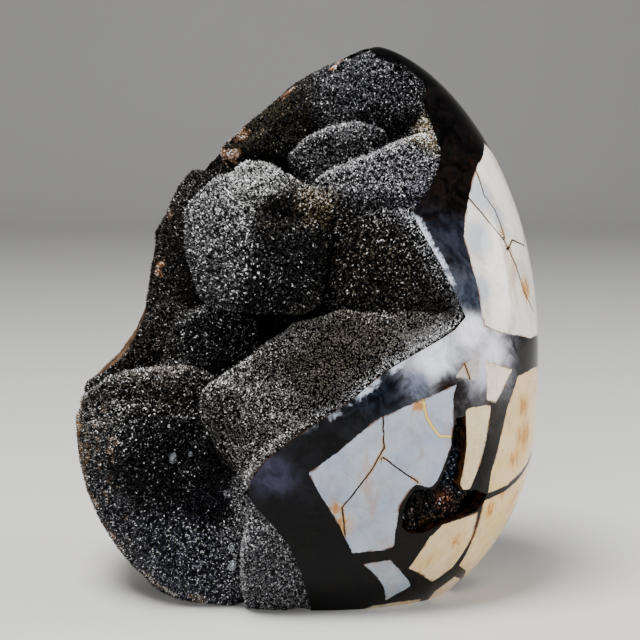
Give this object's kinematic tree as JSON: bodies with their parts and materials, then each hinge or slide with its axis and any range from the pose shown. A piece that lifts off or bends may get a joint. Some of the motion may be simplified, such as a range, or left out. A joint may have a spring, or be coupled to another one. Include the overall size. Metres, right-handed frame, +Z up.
{
  "type": "septarian nodule",
  "caption": "Upright polished septarian stone egg with a flat base and a large open vug lined with dark druzy crystals at its front; a free-standing display mineral.",
  "frame": {"origin": "middle of the footprint, on the surface the flat base rests on", "axes": "+Z up along the egg's height, +X to the right of the face with the vug, -Y out of that face towards the viewer"},
  "size_m": [0.1482, 0.116, 0.172],
  "materials": {
    "stone": "polished",
    "druse": "fine crystals"
  },
  "bodies": {
    "root": {"nodule": "stone", "druse": "druse", "vein_druse": "druse"}
  },
  "joints": []
}
